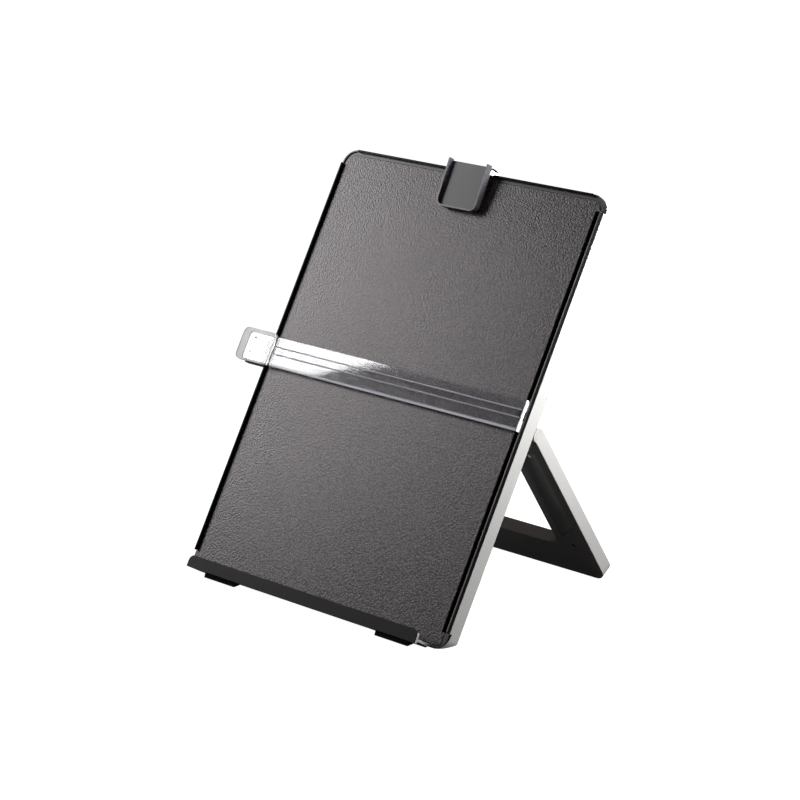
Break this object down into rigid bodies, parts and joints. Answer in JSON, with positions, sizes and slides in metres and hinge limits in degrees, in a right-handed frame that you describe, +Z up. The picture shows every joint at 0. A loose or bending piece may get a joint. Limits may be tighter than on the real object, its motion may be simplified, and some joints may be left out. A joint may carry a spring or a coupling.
{
  "type": "desk copy holder",
  "caption": "Reclined document stand with textured board, page ledge, spring clip, sliding clear line guide and a folding easel leg.",
  "frame": {"origin": "on the desk, in the middle of the board's flat bottom face", "axes": "+Z up, +X to the reader's right, +Y away from the reader"},
  "size_m": [0.2503, 0.1894, 0.2692],
  "materials": {
    "panel_plastic": "grained",
    "tray_plastic": "satin",
    "rail_plastic": "smooth",
    "silver_plastic": "satin silver paint",
    "ledge_plastic": "fine texture",
    "clip_plastic": "satin",
    "clear_plastic": "polished clear acrylic",
    "liner_plastic": "satin",
    "rubber": "matt",
    "steel": "zinc plated",
    "nylon": "natural"
  },
  "bodies": {
    "root": {"front_tray": "tray_plastic", "face_panel": "panel_plastic", "rail_left": "rail_plastic", "rail_right": "rail_plastic", "rail_top_left": "rail_plastic", "rail_top_right": "rail_plastic", "back_shell": "silver_plastic", "shell_screws": "steel", "ledge_bracket": "silver_plastic", "ledge_cover": "ledge_plastic", "ledge_screws": "steel", "front_foot_left": "rubber", "front_foot_right": "rubber", "clip_bracket": "rail_plastic", "clip_bracket_screws": "steel", "clip_pin": "steel", "clip_spring": "steel", "hinge_block_left": "liner_plastic", "hinge_block_right": "liner_plastic", "hinge_block_screws": "steel", "hinge_pin_left": "steel", "hinge_pin_right": "steel", "pin_retainers": "steel", "friction_washers": "steel"},
    "clip": {"clip_lever": "clip_plastic", "clip_pad": "rubber"},
    "guide": {"guide_bar": "clear_plastic", "guide_hook": "clear_plastic", "guide_shoe": "rail_plastic", "guide_runner": "rail_plastic", "guide_spring": "steel", "guide_rivets": "steel"},
    "stand": {"hinge_bush_left": "nylon", "hinge_bush_right": "nylon", "hinge_plugs": "silver_plastic", "leg_shell": "silver_plastic", "leg_liner": "liner_plastic", "leg_screws": "steel", "rear_foot_left": "rubber", "rear_foot_right": "rubber"}
  },
  "joints": [
    {"name": "guide_slide", "type": "slide", "parent": "root", "child": "guide", "axis": [0, 0.5195, 0.8545], "range_m": [-0.13, 0.11]},
    {"name": "clip_hinge", "type": "hinge", "parent": "root", "child": "clip", "pos_m": [0, 0.14524, 0.25409], "axis": [1, 0, 0], "range_deg": [-18, 0], "stiffness_Nm_per_rad": 0.25, "springref_deg": 17.19, "deforming": ["clip_spring"]},
    {"name": "leg_fold", "type": "hinge", "parent": "root", "child": "stand", "pos_m": [0, 0.08452, 0.1185], "axis": [-1, 0, 0], "range_deg": [0, 65]}
  ]
}
